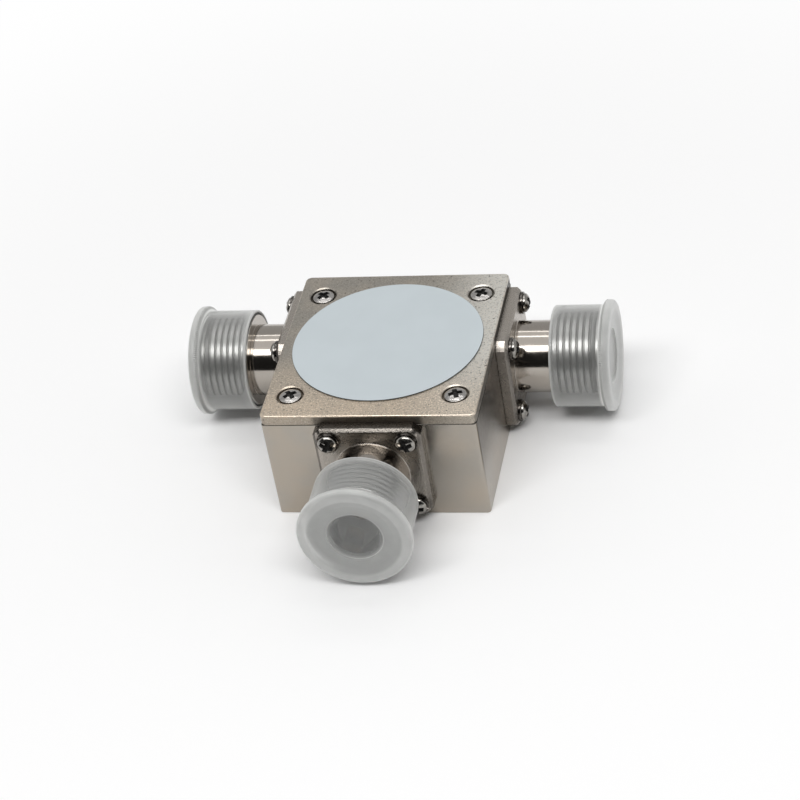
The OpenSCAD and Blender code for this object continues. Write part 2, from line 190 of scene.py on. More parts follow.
class CIRCULATOR_PG_finish(bpy.types.PropertyGroup):
    """Colours of the finishes"""

    satin: colour("Housing", "Satin nickel of the housing", (0.41, 0.38, 0.338))
    blasted: colour("Cover", "Blasted nickel of the cover", (0.4, 0.376, 0.335))
    bright: colour("Sockets", "Polished nickel of the sockets", (0.42, 0.385, 0.345))
    # The flange and cover screws are one plated steel: the darker copy on the flange screws is painted shade,
    # the paler copy on the cover screws painted light
    screw: colour("Screws", "Plated steel of the flange screws", (0.36, 0.345, 0.32))
    # The washers' dark steel is partly their own dull colour and partly painted shade round the screw heads
    washer: colour("Washers", "Dull spring steel of the washers", (0.13, 0.12, 0.11))
    cover_screw: colour("Cover screws", "Paler plate of the cover screws", (0.5, 0.48, 0.46))
    # Painted shade in the screws' cross recesses
    recess: colour("Recesses", "Blackened recesses of the screws", (0.02, 0.019, 0.018))
    label: colour("Label", "Film of the round label", (0.535, 0.59, 0.615))
    milky: colour("Caps", "Milky plastic of the dust caps", (0.61, 0.615, 0.6))
    insulator: colour("Insulators", "White plastic of the insulators", (0.88, 0.88, 0.85))
    gold: colour("Contacts", "Gold plate of the contacts", (0.83, 0.58, 0.2))
    silver: colour("Strip", "Silvered copper of the centre conductor", (0.8, 0.77, 0.72))
    ferrite: colour("Ferrites", "Ground ferrite", (0.035, 0.035, 0.038))
    ceramic: colour("Rings", "Ceramic of the dielectric rings", (0.74, 0.7, 0.62))
    steel: colour("Plates", "Steel of the ground plates", (0.44, 0.45, 0.46))
    magnet: colour("Magnets", "Sintered magnets", (0.08, 0.08, 0.085))
    alloy: colour("Compensators", "Alloy of the compensators", (0.36, 0.35, 0.32))
    rubber: colour("Pad", "Rubber of the pressure pad", (0.05, 0.048, 0.047))


class CIRCULATOR_PG_stage(bpy.types.PropertyGroup):
    """Camera, floor and lamps"""

    eye: FloatVectorProperty(
        name="Camera place", description="Where the camera stands", size=3, unit="LENGTH",
        default=(0.096677, -0.321931, 0.260258),
    )
    turn: FloatVectorProperty(
        name="Camera turn", description="How the camera is turned", size=3, subtype="EULER",
        default=(radians(52.649), radians(8.5195), radians(10.208)),
    )
    lens: FloatProperty(name="Lens", description="Focal length", default=114.359, unit="CAMERA")
    floor: colour("Floor", "Pale floor", (0.98, 0.98, 0.98))
    ambient: share("Ambient", "Light from all round on matt surfaces", 0.53)
    key: FloatProperty(name="Key", description="Radiance of the large softbox", default=6.0, min=0.0)
    strip: FloatProperty(name="Strips", description="Radiance of the two strip lamps", default=4.0, min=0.0)


class CIRCULATOR_PG_part(bpy.types.PropertyGroup):
    """Everything that the operators read"""

    block: PointerProperty(type=CIRCULATOR_PG_block, name="Block", description="Housing, cover and label")
    port: PointerProperty(type=CIRCULATOR_PG_port, name="Port", description="Threaded sockets")
    cap: PointerProperty(type=CIRCULATOR_PG_cap, name="Cap", description="Dust caps")
    screw: PointerProperty(type=CIRCULATOR_PG_screw, name="Screws", description="Screws and washers")
    finish: PointerProperty(type=CIRCULATOR_PG_finish, name="Finish", description="Colours")
    stage: PointerProperty(type=CIRCULATOR_PG_stage, name="Stage", description="Camera, floor and lamps")


def forward(operation):
    """Maths with the term in first place."""
    return lambda self, other: self.maths(operation, self, other)


def reflected(operation):
    """Maths with the term in second place."""
    return lambda self, other: self.maths(operation, other, self)


class Term:
    """A socket of a material, so that maths on it reads as an expression."""

    def __init__(self, recipe, socket):
        self.recipe = recipe
        self.socket = socket

    def maths(self, operation, *terms):
        return self.recipe.node("ShaderNodeMath", {"operation": operation}, dict(enumerate(terms)))

    def __abs__(self):
        return self.maths("ABSOLUTE", self)

    __add__ = __radd__ = forward("ADD")
    __mul__ = __rmul__ = forward("MULTIPLY")
    __sub__, __rsub__ = forward("SUBTRACT"), reflected("SUBTRACT")
    __pow__, __rpow__ = forward("POWER"), reflected("POWER")
    least = forward("MINIMUM")


class Recipe:
    """The node tree of one material or of the world."""

    def __init__(self, owner):
        self.owner = owner
        owner.use_nodes = True
        self.tree = owner.node_tree
        self.tree.nodes.clear()

    def node(self, kind, settings=None, sockets=None, output=0):
        made = self.tree.nodes.new(kind)
        for name, value in (settings or {}).items():
            setattr(made, name, value)
        for name, value in (sockets or {}).items():
            if isinstance(value, Term):
                self.tree.links.new(value.socket, made.inputs[name])
            else:
                made.inputs[name].default_value = value
        return Term(self, made.outputs[output])

    def place(self):
        return self.node("ShaderNodeTexCoord", output="Object")

    def axes(self):
        place = self.place()
        return [self.node("ShaderNodeSeparateXYZ", None, {0: place}, i) for i in range(3)]

    def reach(self):
        """Distance from the piece's own Z axis."""
        x, y, _ = self.axes()
        return (x * x + y * y) ** 0.5

    def noise(self, grain, detail=2.0, rough=0.5, at=None):
        """Noise between about 0.2 and 0.8, with patches of the given size in metres."""
        sockets = {
            "Vector": at or self.place(), "Scale": 1.0 / grain, "Detail": detail, "Roughness": rough,
        }
        return self.node("ShaderNodeTexNoise", None, sockets)

    def ramp(self, value, low, high):
        """Zero at low and one at high, smooth between and held beyond."""
        sockets = {"Value": value, 1: low, 2: high}
        return self.node("ShaderNodeMapRange", {"interpolation_type": "SMOOTHSTEP"}, sockets)

    def even(self, noise):
        """Noise taken onto the whole span from 0 to 1."""
        return self.ramp(noise, 0.3, 0.7)

    def blend(self, share_, first, second):
        tints = [c if isinstance(c, Term) else (*c, 1.0) for c in (first, second)]
        return self.node("ShaderNodeMix", {"data_type": "RGBA"}, {0: share_, 6: tints[0], 7: tints[1]}, 2)

    def coats(self, tint, base, *layers):
        """Lays coats over a base, each with a weight, a shade of the tint and perhaps a warmth."""
        for weight, *shade in layers:
            base = self.blend(weight, base, shaded(tint, *shade))
        return base

    def bump(self, height, strength, depth):
        return self.node("ShaderNodeBump", None, {"Height": height, "Strength": strength, "Distance": depth})

    def surface(self, base, rough, normal, others):
        """Ends a finish with its colour, roughness and bump, and other sockets of its shader."""
        sockets = {"Base Color": base, "Roughness": rough, "Normal": normal, **others}
        return self.finish(self.node("ShaderNodeBsdfPrincipled", None, sockets))

    def finish(self, shader, kind="ShaderNodeOutputMaterial"):
        self.tree.links.new(shader.socket, self.tree.nodes.new(kind).inputs["Surface"])
        return self.owner


METAL = {"Metallic": 1.0}


def shaded(tint, factor, warmth=0.0):
    """A colour made lighter or darker by a factor, and warmer by a share."""
    red, green, blue = (min(1.0, c * factor) for c in tint)
    return min(1.0, red * (1 + warmth)), green, blue * (1 - warmth)


def material(name):
    return Recipe(bpy.data.materials.new(f"{name}_finish"))


def satin_nickel(tint, block):
    """Plated, lightly tumbled sides: soft haze, warm clouds, fine marks, a grimy seam, a painted dark
    reflection on the right face's upper part and a painted shade line down the front-right corner.
    """
    m = material("satin_nickel")
    x, y, z = m.axes()
    clouds = m.noise(0.006, 3.0)
    haze = m.noise(0.0011, 3.0)
    grain = m.noise(0.00022)
    marks = m.ramp(m.noise(0.0006), 0.7, 0.75)
    seam = m.ramp(z, block.height - 0.00016, block.height - 0.00006)
    right = m.ramp(x, block.width / 2 - 0.0002, block.width / 2 - 0.00005)
    # Painted reflection: the right face darker and warmer towards the top, standing in for the dark things it
    # reflects there
    painted_reflection = right * m.ramp(z + clouds * 0.004, block.height * 0.38, block.height * 0.85)
    # Painted shade: a dark line down the front-right upright corner
    arris = m.ramp(abs(y + block.depth / 2 - block.corner), 0.00022, 0.00005)
    corner = arris * right * m.ramp(z, 0.004, 0.012)
    base = m.coats(
        tint, shaded(tint, 0.97),
        (m.ramp(clouds, 0.35, 0.7), 1.0, 0.05),
        (m.even(grain) * 0.16, 0.82),
        (marks * 0.16, 0.5),
        # Painted dark reflection on the right face's upper part
        (painted_reflection * 0.95, 0.2, 0.22),
        # The seam's dark joint, and the painted shade line down the corner
        ((seam * 0.85 + corner * 0.85).least(0.9), 0.1),
    )
    rough = 0.21 + m.even(haze) * 0.04
    return m.surface(base, rough, m.bump(grain + haze * 0.3, 0.03, 0.00002), METAL)


def blasted_nickel(tint, block, port):
    """Bead-blasted plate: sparkling grain, dark pits, painted light that makes the front lighter and warmer
    and the right lighter, painted glints, a burnished edge with a painted highlight, and painted shade in the
    counterbores and on the side walls.
    """
    m = material("blasted_nickel")
    x, y, z = m.axes()
    half_w, half_d, ledge = block.width / 2, block.depth / 2, port.flange / 2
    top, curve = block.cover_top, block.cover_edge
    inset = (half_w - abs(x)).least(half_d - abs(y))
    grain = m.noise(0.00034, 3.0, 0.6)
    sparkle = m.noise(0.00026, 1.0)
    clouds = m.noise(0.005, 3.0)
    pits = m.ramp(m.noise(0.0005), 0.655, 0.71)
    # Painted light: the front half lighter and warmer
    lit = m.ramp(y, 0.0, -block.depth * 0.5)
    # Painted light: the right side lighter
    bright = m.ramp(x, block.width * 0.1, block.width * 0.5)
    # The burnished upper edge: less rough, and lighter and warmer as a painted highlight, beaded by the
    # sparkle
    edge = m.ramp(z, top - curve * 1.1, top - curve * 0.3) * m.ramp(inset, curve * 1.2, curve * 0.6)
    # Painted shade inside the counterbores
    sunk = m.ramp(z, top - 0.0002, top - 0.0005) * m.ramp(inset, 0.0004, 0.0008)
    seam = m.ramp(z, block.height + 0.00014, block.height + 0.00005)
    # Painted shade: the cover's side walls darker
    side = m.ramp(z, top - curve, top - curve * 1.6)
    front = m.ramp(abs(x), ledge + 0.0006, ledge - 0.0004) * m.ramp(y, 0.0004 - half_d, 0.0001 - half_d)
    flank = m.ramp(abs(y - port.side_y), ledge + 0.0003, ledge - 0.0003) \
        * m.ramp(abs(x), half_w - 0.0004, half_w - 0.0001)
    right = m.ramp(x, half_w - 0.0004, half_w - 0.0001)
    # Painted shade on the side walls above the front flange, beside the side flanges and along the right side
    dust = side * (front * 0.6 + flank * 0.8 + right * 0.55)
    base = m.coats(
        tint, shaded(tint, 0.86),
        # Painted light lightening and warming the front, with some random warm clouds
        (lit * 0.8 + m.ramp(clouds, 0.35, 0.7) * 0.2, 1.45, 0.13),
        # Painted light lightening the right side, less where the front is already lit
        (bright * (0.95 - lit * 0.65), 1.95, -0.04),
        # Painted glints: lighter specks of the grain, stronger where the painted light falls
        (m.ramp(sparkle, 0.53, 0.66) * (0.2 + 0.55 * lit + 0.2 * bright), 2.1, 0.06),
        (m.ramp(grain, 0.5, 0.3) * 0.6, 0.5),
        (pits * 0.75, 0.15),
        # Painted shade on the side walls
        (side * 0.5, 0.5),
        # Painted highlight on the burnished edge
        (edge * (0.1 + m.ramp(sparkle, 0.4, 0.6) * 0.4), 1.7, 0.08),
        # The seam's dark joint, with painted shade in the counterbores and on the side walls over the flanges
        ((sunk * 0.2 + seam * 0.85 + dust).least(0.9), 0.1),
    )
    rough = 0.36 + m.even(grain) * 0.1 - edge * 0.1
    return m.surface(base, rough, m.bump(grain + sparkle * 0.5 - pits * 0.6, 0.5, 0.00004), METAL)


def bright_nickel(name, tint, port, painted_shade, dull):
    """Plated brass: a satin flange, and fine turned rings on the polished neck and barrel.

    A share of painted shade darkens the flange's top edge, cut corners and upper part and deepens the painted
    shade in the thread's grooves; every socket has painted shade on its flange's bevel and a painted shadow
    with some grime round each washer, and dull roughens the barrel.
    """
    m = material(name)
    x, y, z = m.axes()
    radius = m.reach()
    along = m.node("ShaderNodeCombineXYZ", None, {0: radius, 1: z, 2: 0.0})
    rings = m.noise(0.00012, 2.0, 0.5, along)
    clouds = m.noise(0.002)
    grain = m.noise(0.0003, 3.0)
    turned = m.ramp(z, port.flange_t + 0.00002, port.flange_t + 0.00012)
    barrel = m.ramp(z, port.barrel_from, port.barrel_from + 0.0002)
    half, bevel = port.flange / 2, port.flange_bevel
    inset = (half - abs(x)).least(half - abs(y))
    upper = m.ramp(y, half - bevel * 2, half - bevel)
    # Painted shade: the flange's bevel darker, except along its upper part
    sides = m.ramp(inset, bevel * 1.2, bevel * 0.9) * (1.0 - upper)
    band = sides * m.ramp(inset, 0.00002, 0.0001)
    # Painted shade along the flange's top edge
    top = m.ramp(y, half - bevel * 0.3, half - bevel * 0.05)
    spot = ((abs(x) - port.screw) ** 2 + (abs(y) - port.screw) ** 2) ** 0.5
    # Painted contact shadow, with some grime, in a ring round each washer
    shadow_grime_ring = m.ramp(spot, 0.0026, 0.0019)
    across = port.flange - port.flange_corner
    # Painted shade on the cut corners
    cut = m.ramp(abs(x) + abs(y), across - 0.0002, across - 0.00005)
    root = port.thread - port.thread_depth
    # Painted shade in the thread's grooves
    groove = m.ramp(abs(radius - root), port.thread_depth * 0.6, port.thread_depth * 0.2) * barrel \
        * m.ramp(z, port.collar_from, port.collar_from - 0.0001)
    # Painted shade on the bevel, top edge, cut corners and upper part, and a painted shadow with some grime
    # round each washer
    shade_and_grime = sides * 0.5 + band * 0.1 + shadow_grime_ring * 0.25 + (top + cut + upper * 0.5) * painted_shade
    flat = m.coats(tint, tint, (m.ramp(grain, 0.35, 0.65) * 0.2, 0.85), (shade_and_grime.least(0.88), 0.12))
    polished = m.coats(
        tint, tint,
        (barrel, 1.0, -0.08),
        (m.ramp(rings, 0.35, 0.65) * 0.07, 0.0),
        (groove * (0.1 + painted_shade), 0.1),
    )
    base = m.blend(turned, flat, polished)
    smooth = 0.08 + m.even(rings) * 0.05 + m.ramp(clouds, 0.4, 0.7) * 0.04 + barrel * dull
    rough = smooth + (1.0 - turned) * (0.15 + m.even(grain) * 0.03)
    height = rings * turned + (rings * 120.0 + grain * 0.3) * (1.0 - turned)
    return m.surface(base, rough, m.bump(height, 0.08, 0.000015), METAL)


def screw_steel(name, tint):
    """Plated screw steel: bright, a little marked by the driver."""
    m = material(name)
    grain = m.noise(0.00018)
    marks = m.noise(0.0006, 3.0)
    base = m.coats(tint, tint, (m.ramp(marks, 0.4, 0.65) * 0.7, 0.6))
    return m.surface(base, 0.13 + m.even(grain) * 0.1, m.bump(grain, 0.05, 0.00002), METAL)


def recess_black(name, tint):
    """Painted shade at the bottom of a cross recess: dull, nearly black steel with a lighter mottle."""
    m = material(name)
    dust = m.noise(0.00015, 3.0)
    base = m.coats(tint, shaded(tint, 0.6), (m.ramp(dust, 0.4, 0.75), 2.2))
    return m.surface(base, 0.45 + m.even(dust) * 0.2, m.bump(dust, 0.1, 0.00002), {"Metallic": 0.6})


def label_film(tint, block):
    """Matt film with a faint tooth and a painted shadow line along its cut edge."""
    m = material("label_film")
    tooth = m.noise(0.00012)
    clouds = m.noise(0.007)
    # Painted shadow line along the label's cut edge
    rim = m.ramp(m.reach(), block.label_radius - 0.00006, block.label_radius - 0.00002)
    base = m.coats(tint, shaded(tint, 0.985), (m.even(clouds), 1.015), (rim * 0.9, 0.05))
    rough = 0.5 + m.even(tooth) * 0.12
    return m.surface(base, rough, m.bump(tooth, 0.04, 0.00001), {"Specular IOR Level": 0.2})


def milky_plastic(name, tint, cap, haze):
    """Milky moulded polyethylene: clear in the thin sleeve, denser in the rim, the end and at a slant.

    Haze, from 0 to 1, clouds the underside of the sleeve and darkens it as painted shade.
    """
    m = material(name)
    _, y, z = m.axes()
    radius = m.reach()
    clouds = m.noise(0.0016, 3.0)
    skin = m.noise(0.0003)
    closed = m.ramp(z, cap.rim_from - 0.0002, cap.rim_from + 0.0003)
    lip = m.ramp(z, cap.open_end + 0.0005, cap.open_end + 0.0001)
    mouth = m.ramp(z, cap.open_end + 0.0018, cap.open_end)
    dish = m.ramp(radius, cap.dish + 0.0001, cap.dish - 0.0005)
    recess = m.ramp(radius, cap.recess + 0.0006, cap.recess - 0.0012)
    corner = cap.rim_from + (cap.rim - cap.outer) / 2
    # Painted light: the hollow curve from the sleeve to the rim lighter, lifting its shade
    flare = m.ramp(abs(z - corner + 0.0003), 0.0006, 0.0002)
    # Painted shade in the gaps between the rim's teeth
    gaps = m.ramp(radius, cap.rim - cap.tooth * 0.3, cap.rim - cap.tooth * 0.8) \
        * m.ramp(abs(z - corner), 0.0003, 0.0001)
    # Painted light: a lighter ring round the edge of the recess
    step = m.ramp(abs(radius - cap.recess), 0.0003, 0.00005) * closed
    # Painted shade: the underside of the sleeve darker, and denser by the haze
    under = m.ramp(y, 0.0045, -0.003) * haze
    milk = 0.13 - 0.03 * haze + mouth * 0.15 + lip * 0.4 + under * 0.12 * (1.0 - closed) \
        + closed * (0.48 - dish * 0.1 - recess * 0.32)
    slant = m.node("ShaderNodeLayerWeight", None, {"Blend": 0.5}, "Facing")
    veil = 1.0 - (1.0 - milk) ** ((1.05 - slant) ** -(1.4 + 0.6 * haze))
    cloudy = m.blend(m.even(clouds), shaded(tint, 0.97), shaded(tint, 1.03))
    sleeve = m.blend(under, shaded(tint, 0.92), shaded(tint, 0.76))
    base = m.coats(
        tint, m.blend(closed + lip, sleeve, cloudy),
        (flare, 1.45),
        # Painted shade in the dish and in the recess of the closed end
        (dish * closed * 0.3 + recess * closed * 0.2, 0.55),
        (step * 0.5, 1.3),
        (gaps * 0.55, 0.45),
    )
    rough = 0.28 + m.even(skin) * 0.1
    return m.surface(base, rough, m.bump(clouds, 0.05, 0.00003), {"IOR": 1.5, "Alpha": veil})


def plain_stock(name, tint, grain, rough, metal=0.0, shift=0.2):
    """Finish of a hidden piece: its stock colour with the grain that such stock has."""
    m = material(name)
    fine = m.noise(grain, 3.0)
    broad = m.noise(grain * 12)
    mixed = m.even(fine) * 0.6 + m.ramp(broad, 0.35, 0.65) * 0.4
    base = m.coats(tint, shaded(tint, 1 - shift), (mixed, 1 + shift))
    return m.surface(base, rough + m.even(fine) * 0.12, m.bump(fine, 0.12, grain * 0.15), {"Metallic": metal})


class Shell:
    """A closed mesh made from loops of points."""

    def __init__(self):
        self.mesh = bmesh.new()
        self.place = Matrix.Identity(4)
        self.finish_index = 0

    def loop(self, points):
        return [self.mesh.verts.new(self.place @ Vector(p)) for p in points]

    def face(self, corners):
        self.mesh.faces.new(corners).material_index = self.finish_index

    def band(self, first, second):
        for i in range(len(first)):
            self.face((first[i - 1], first[i], second[i], second[i - 1]))

    def sleeve(self, rings, start=None):
        """Skins a row of rings, perhaps on from a loop that is there, and returns its end loops."""
        loops = [start] if start else []
        loops += [self.loop(ring) for ring in rings]
        for first, second in zip(loops, loops[1:]):
            self.band(first, second)
        return loops[0], loops[-1]

    def close(self, loop, point):
        tip = self.mesh.verts.new(self.place @ Vector(point))
        for i in range(len(loop)):
            self.face((loop[i - 1], loop[i], tip))

    def fill(self, *loops):
        """Flat face inside the first loop and outside the others."""
        edges = []
        for loop in loops:
            for i in range(len(loop)):
                pair = (loop[i - 1], loop[i])
                edges.append(self.mesh.edges.get(pair) or self.mesh.edges.new(pair))
        bmesh.ops.triangle_fill(self.mesh, use_beauty=True, use_dissolve=False, edges=edges)

    def spun(self, profile, count):
        """Skins a profile of (radius, z) about Z; an end on the axis is closed."""
        body = [p for p in profile if p[0] > 0]
        first, last = self.sleeve([ring_points(r, z, count) for r, z in body])
        if profile[0][0] == 0:
            self.close(first, (0, 0, profile[0][1]))
        if profile[-1][0] == 0:
            self.close(last, (0, 0, profile[-1][1]))
        return first, last

    def holes(self, places, profile, count):
        """Spins a profile at each place, and returns all its first loops and all its last ones."""
        pairs = []
        for place in places:
            self.place = place
            pairs.append(self.spun(profile, count))
        self.place = Matrix.Identity(4)
        return list(zip(*pairs))

    def piece(self, name, finishes, place=None):
        bmesh.ops.recalc_face_normals(self.mesh, faces=self.mesh.faces)
        data = bpy.data.meshes.new(name)
        self.mesh.to_mesh(data)
        self.mesh.free()
        data.shade_smooth()
        data.set_sharp_from_angle(angle=radians(CREASE))
        made = bpy.data.objects.new(name, data)
        bpy.context.scene.collection.objects.link(made)
        if place:
            made.matrix_world = place
        for finish in finishes:
            data.materials.append(finish)
        return made


def ring_points(radius, z, count):
    turns = [2 * pi * i / count for i in range(count)]
    return [(radius * cos(a), radius * sin(a), z) for a in turns]


def rounded_outline(half_x, half_y, radius, z, steps):
    """A rounded rectangle, anticlockwise from +X."""
    points = []
    for quarter, (sx, sy) in enumerate(((1, 1), (-1, 1), (-1, -1), (1, -1))):
        x, y = sx * (half_x - radius), sy * (half_y - radius)
        for i in range(steps + 1):
            a = pi / 2 * (quarter + i / steps)
            points.append((x + radius * cos(a), y + radius * sin(a), z))
    return points


def block_outlines(block, corner, levels, steps):
    """The block's outline at each (inset, height)."""
    return [
        rounded_outline(block.width / 2 - i, block.depth / 2 - i, corner - i, z, steps) for i, z in levels
    ]


def cut_corner_outline(half, leg, z):
    """A square with its corners cut off, anticlockwise."""
    short = half - leg
    quarter = [(half, -short), (half, short)]
    points = []
    for i in range(4):
        turn = Matrix.Rotation(pi / 2 * i, 2)
        points += [(*(turn @ Vector(p)), z) for p in quarter]
    return points


def rounding(size, steps=4):
    """Steps of a rounded edge as (inset, drop), from the wall to the face."""
    angles = [pi / 2 * i / steps for i in range(steps + 1)]
    return [(size * (1 - cos(a)), size * (1 - sin(a))) for a in angles]


def port_frame(part, side):
    """A port's own frame: Z out along its axis, Y up, the housing's face at Z = 0."""
    block, port = part.block, part.port
    out, at = {
        "front": ((0, -1, 0), (0, -block.depth / 2, port.axis_z)),
        "right": ((1, 0, 0), (block.width / 2, port.side_y, port.axis_z)),
        "left": ((-1, 0, 0), (-block.width / 2, port.side_y, port.axis_z)),
    }[side]
    up = Vector((0, 0, 1))
    turn = Matrix((up.cross(Vector(out)), up, Vector(out))).transposed().to_4x4()
    return Matrix.Translation(at) @ turn


def flange_places(port, turns=(0, 0, 0, 0)):
    """Frames of the four flange screws, each with its own turn in degrees."""
    spot = Matrix.Translation((port.screw, port.screw, 0))
    return [
        Matrix.Rotation(pi / 2 * i, 4, "Z") @ spot @ Matrix.Rotation(radians(t), 4, "Z")
        for i, t in enumerate(turns)
    ]


def cover_places(block, turns=(0, 0, 0, 0)):
    """Frames of the four cover screws, each with its own turn in degrees."""
    corners = ((-1, -1), (1, -1), (-1, 1), (1, 1))
    return [
        Matrix.Translation((sx * block.screw_x, sy * block.screw_y, 0)) @ Matrix.Rotation(radians(t), 4, "Z")
        for (sx, sy), t in zip(corners, turns)
    ]


def at_ports(part, name, finishes, add):
    """Builds a piece in each port's own frame, and gives each side with its piece."""
    for side in SIDES:
        shell = Shell()
        add(shell, part)
        yield side, shell.piece(f"{side}_{name}", finishes[side], port_frame(part, side))


def dress(made, body, slot, *nodes):
    """Lets a piece ride on its body in place of its nodes, with even shading on its flats."""
    made.modifiers.new("Even shading", "WEIGHTED_NORMAL").keep_sharp = True
    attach(made, body)
    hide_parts(*nodes)


def coat(finish, *nodes):
    """Gives nodes that keep their solids' meshes their finish."""
    for name in nodes:
        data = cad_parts[name].data
        data.materials.clear()
        data.materials.append(finish)


class CIRCULATOR_OT_housing(bpy.types.Operator):
    """Builds the machined block with its cavity, port bores and tapped holes"""

    bl_idname = "circulator.housing"
    bl_label = "Housing"

    def execute(self, context):
        part = context.scene.circulator
        block = part.block
        shell = Shell()
        edge = rounding(block.edge)
        levels = edge[::-1] + [(inset, block.height - drop) for inset, drop in edge]
        bottom, top = shell.sleeve(block_outlines(block, block.corner, levels, 6))
        rim, floor = shell.sleeve([ring_points(block.cavity, z, 128) for z in (block.height, block.floor)])
        low = block.height - block.cover_tap
        tapped = [(block.tapped, block.height), (block.tapped, low), (0, low)]
        mouths, _ = shell.holes(cover_places(block), tapped, 32)
        shell.fill(bottom)
        shell.fill(floor)
        shell.fill(top, rim, *mouths)
        made = shell.piece("housing_block", [satin_nickel(part.finish.satin, block)])
        self.bore(made, part)
        dress(made, "circulator", "satin_nickel", "housing")
        return {"FINISHED"}

    def bore(self, made, part):
        """Cuts the port bores and their tapped holes."""
        block, port = part.block, part.port
        clear, play = 0.0008, 0.00004
        reach, deep = -block.cavity * 0.8, -block.port_tap
        pilot, seat = port.pilot + play, -port.pilot_l - play
        line = [(0, reach), (port.line, reach), (port.line, seat), (pilot, seat), (pilot, clear), (0, clear)]
        tapped = [(0, deep), (block.tapped, deep), (block.tapped, clear), (0, clear)]
        shell = Shell()
        for side in SIDES:
            at = port_frame(part, side)
            shell.holes([at], line, 96)
            shell.holes([at @ place for place in flange_places(port)], tapped, 32)
        cutter = shell.piece("port_cutter", [])
        cut = made.modifiers.new("Port bores", "BOOLEAN")
        cut.operation = "DIFFERENCE"
        cut.solver = "EXACT"
        cut.object = cutter
        whole = made.data
        made.data = bpy.data.meshes.new_from_object(made.evaluated_get(bpy.context.evaluated_depsgraph_get()))
        made.modifiers.clear()
        bpy.data.meshes.remove(whole)
        bpy.data.meshes.remove(cutter.data)
        made.data.set_sharp_from_angle(angle=radians(CREASE))


class CIRCULATOR_OT_cover(bpy.types.Operator):
    """Builds the cover plate with its rounded upper edge and counterbored holes"""

    bl_idname = "circulator.cover"
    bl_label = "Cover"

    def execute(self, context):
        part = context.scene.circulator
        block = part.block
        shell = Shell()
        low, high, bore = block.height, block.cover_top, block.counterbore
        under_edge, lip = 0.0001, 0.00018
        levels = [(inset, low + drop) for inset, drop in reversed(rounding(under_edge, 2))]
        levels += [(inset, high - drop) for inset, drop in rounding(block.cover_edge)]
        bottom, top = shell.sleeve(block_outlines(block, block.cover_corner, levels, 8))
        seat = high - block.counterbore_depth
        stepped = [
            (bore + lip, high), (bore, high - lip), (bore, seat), (block.through, seat), (block.through, low),
        ]
        mouths, ends = shell.holes(cover_places(block), stepped, 64)
        shell.fill(top, *mouths)
        shell.fill(bottom, *ends)
        made = shell.piece("cover_sheet", [blasted_nickel(part.finish.blasted, block, part.port)])
        dress(made, "circulator", "blasted_nickel", "cover_plate")
        return {"FINISHED"}


class CIRCULATOR_OT_label(bpy.types.Operator):
    """Builds the round label as a thin film with a rolled edge and a faint lie"""

    bl_idname = "circulator.label"
    bl_label = "Label"

    def execute(self, context):
        part = context.scene.circulator
        block = part.block
        shell = Shell()
        low, high, radius = block.cover_top, block.label_top, block.label_radius
        count, film = 160, high - low
        lie, wave_x, wave_y = film * 0.06, 330, 270
        profile = [(radius - film, low), (radius - film * 0.2, low + film * 0.35), (radius, low + film * 0.5)]
        profile += [(radius - inset, high - drop) for inset, drop in rounding(film * 0.3, 3)]
        rings = [ring_points(r, z, count) for r, z in profile]
        for share_ in (0.93, 0.86, 0.75, 0.6, 0.45, 0.3, 0.15):
            rings.append([
                (x, y, z - lie * (1 + sin(x * wave_x + 1.0) * cos(y * wave_y)))
                for x, y, z in ring_points(radius * share_, high, count)
            ])
        under, middle = shell.sleeve(rings)
        shell.close(middle, (0, 0, high - lie))
        shell.fill(under)
        finish = label_film(part.finish.label, block)
        made = shell.piece("label_film", [finish], Matrix.Translation((0, block.label_y, 0)))
        dress(made, "circulator", "label_film", "round_label")
        return {"FINISHED"}


def cross_reach(screw, angle):
    """Radius of the cross recess's edge in a direction."""
    lean = abs((angle + pi / 4) % (pi / 2) - pi / 4)
    return min(screw.cross_l / cos(lean), screw.cross_w / max(sin(lean), 1e-6))


def add_screw(shell, screw, head, head_h, edge_h, shank_l):
    """Adds a pan-head screw with its seat at Z = 0 and a tapered cross recess."""
    corner = atan2(screw.cross_w, screw.cross_l)
    wing = [corner * i / 3 for i in range(1, 4)] + [corner + (pi / 4 - corner) * i / 5 for i in range(1, 5)]
    leans = [-pi / 4] + [-a for a in reversed(wing)] + [0.0] + wing
    angles = [pi / 2 * arm + lean for arm in range(4) for lean in leans]
    sag = head_h - edge_h
    dome_r = (head ** 2 + sag ** 2) / (2 * sag)

    def dome(radius):
        return head_h - dome_r + sqrt(dome_r ** 2 - radius ** 2)

    def ring(reach, height):
        rs = [reach(a) for a in angles]
        return [(r * cos(a), r * sin(a), height(r)) for a, r in zip(angles, rs)]

    def level(radius, z):
        return ring(lambda a: radius, lambda r: z)

    soft = head * 0.04
    shoulder = head - soft
    lip = screw.cross_w * 0.16
    rings = [
        level(screw.shank * 0.8, -shank_l), level(screw.shank, -shank_l + screw.shank * 0.2),
        level(screw.shank, 0), level(shoulder, 0), level(head, soft),
        level(head, edge_h - soft), level(head - soft * 0.3, edge_h - soft * 0.2),
        level(shoulder, dome(shoulder)),
    ]
    for s in (0.25, 0.5, 0.75, 0.92, 1.0):
        rings.append(ring(lambda a, s=s: shoulder + (cross_reach(screw, a) + lip - shoulder) * s, dome))
    end, brim = shell.sleeve(rings)
    shell.fill(end)
    deep = head_h - screw.cross_depth
    # The cross recess takes the second finish, a painted shade
    shell.finish_index = 1
    _, recess = shell.sleeve([
        ring(lambda a: cross_reach(screw, a), lambda r: dome(r) - lip),
        ring(lambda a: cross_reach(screw, a) * 0.84, lambda r: deep + screw.cross_depth * 0.3),
    ], brim)
    shell.close(recess, (0, 0, deep))
    shell.finish_index = 0


def shared_finish(name, recipe, tint):
    """A finish that several operators use is made once."""
    return bpy.data.materials.get(f"{name}_finish") or recipe(name, tint)


